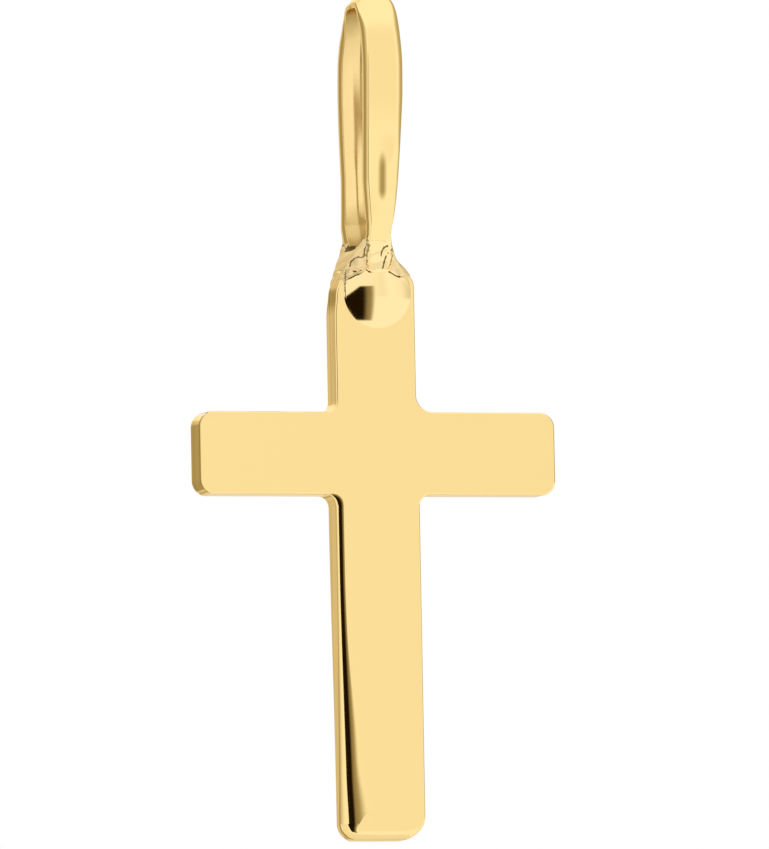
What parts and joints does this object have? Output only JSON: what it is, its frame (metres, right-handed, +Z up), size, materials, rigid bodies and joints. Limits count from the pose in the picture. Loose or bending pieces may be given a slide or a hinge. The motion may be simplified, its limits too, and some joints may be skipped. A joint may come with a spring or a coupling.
{
  "type": "cross pendant",
  "caption": "Small plain polished gold Latin cross that hangs from a long narrow bail soldered to its top.",
  "frame": {"origin": "middle of the inner top of the bail, where a chain bears", "axes": "+Z up along the cross's upright, -Y towards the polished front face, +X to the right seen from the front"},
  "size_m": [0.009, 0.0026, 0.0206],
  "materials": {
    "gold": "polished"
  },
  "bodies": {
    "root": {"pendant": "gold"}
  },
  "joints": []
}
